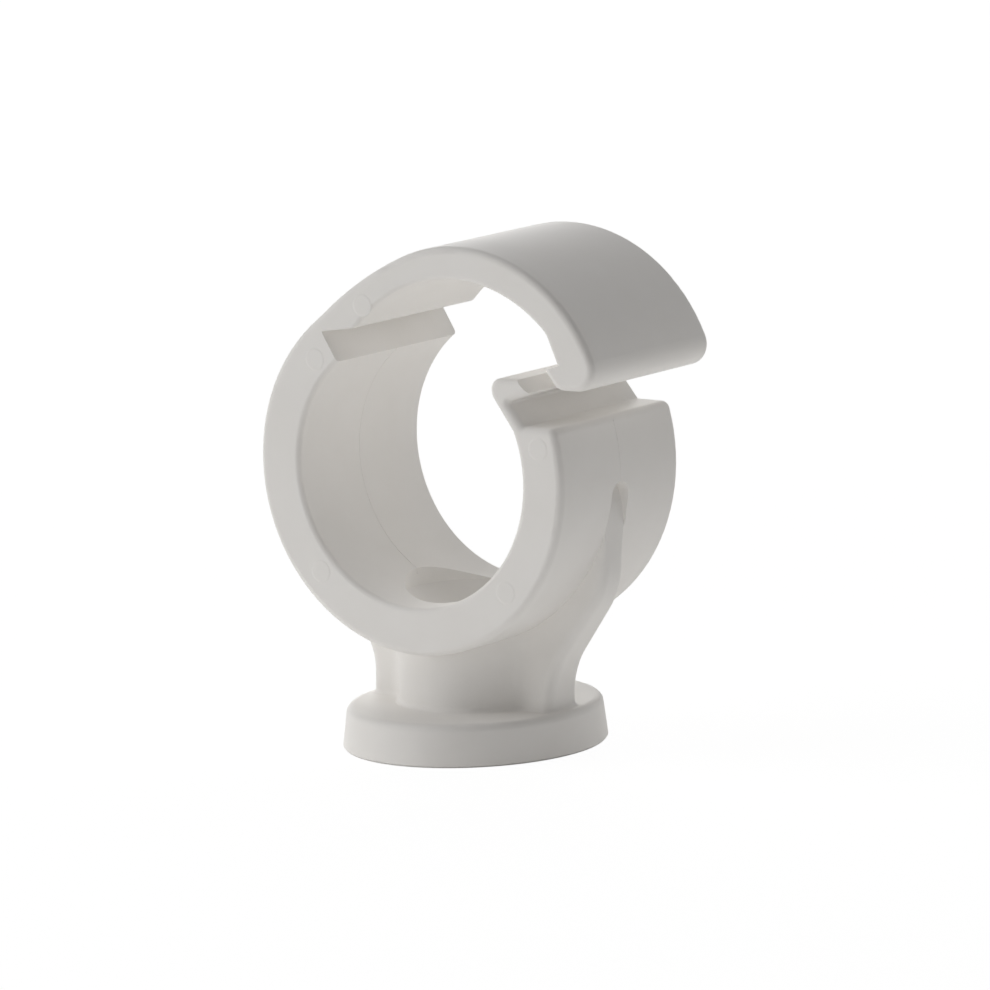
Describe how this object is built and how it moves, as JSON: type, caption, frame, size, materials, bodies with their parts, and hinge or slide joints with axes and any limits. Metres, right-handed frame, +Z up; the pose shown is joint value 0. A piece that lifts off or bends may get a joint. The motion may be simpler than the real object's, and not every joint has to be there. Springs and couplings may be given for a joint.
{
  "type": "pipe clip",
  "caption": "White plastic pipe clip: an open snap ring on a screw neck and an oval foot, with a lid on a bending web that closes over the pipe onto a catch.",
  "frame": {"origin": "middle of the foot's underside, on the axis of the screw hole", "axes": "+Z up out of the foot along the screw hole, +Y along the pipe, +X from the bending web towards the catch"},
  "size_m": [0.0226, 0.0158, 0.0286],
  "materials": {
    "white_plastic": "satin"
  },
  "bodies": {
    "clip": {"clip_body": "white_plastic"},
    "lid": {"hinged_lid": "white_plastic", "living_hinge": "white_plastic"}
  },
  "joints": [
    {"name": "lid_swing", "type": "hinge", "parent": "clip", "child": "lid", "pos_m": [-0.00588, 0, 0.02413], "axis": [0, -1, 0], "range_deg": [-7.5, 120], "stiffness_Nm_per_rad": 0.02, "deforming": ["living_hinge"]}
  ]
}
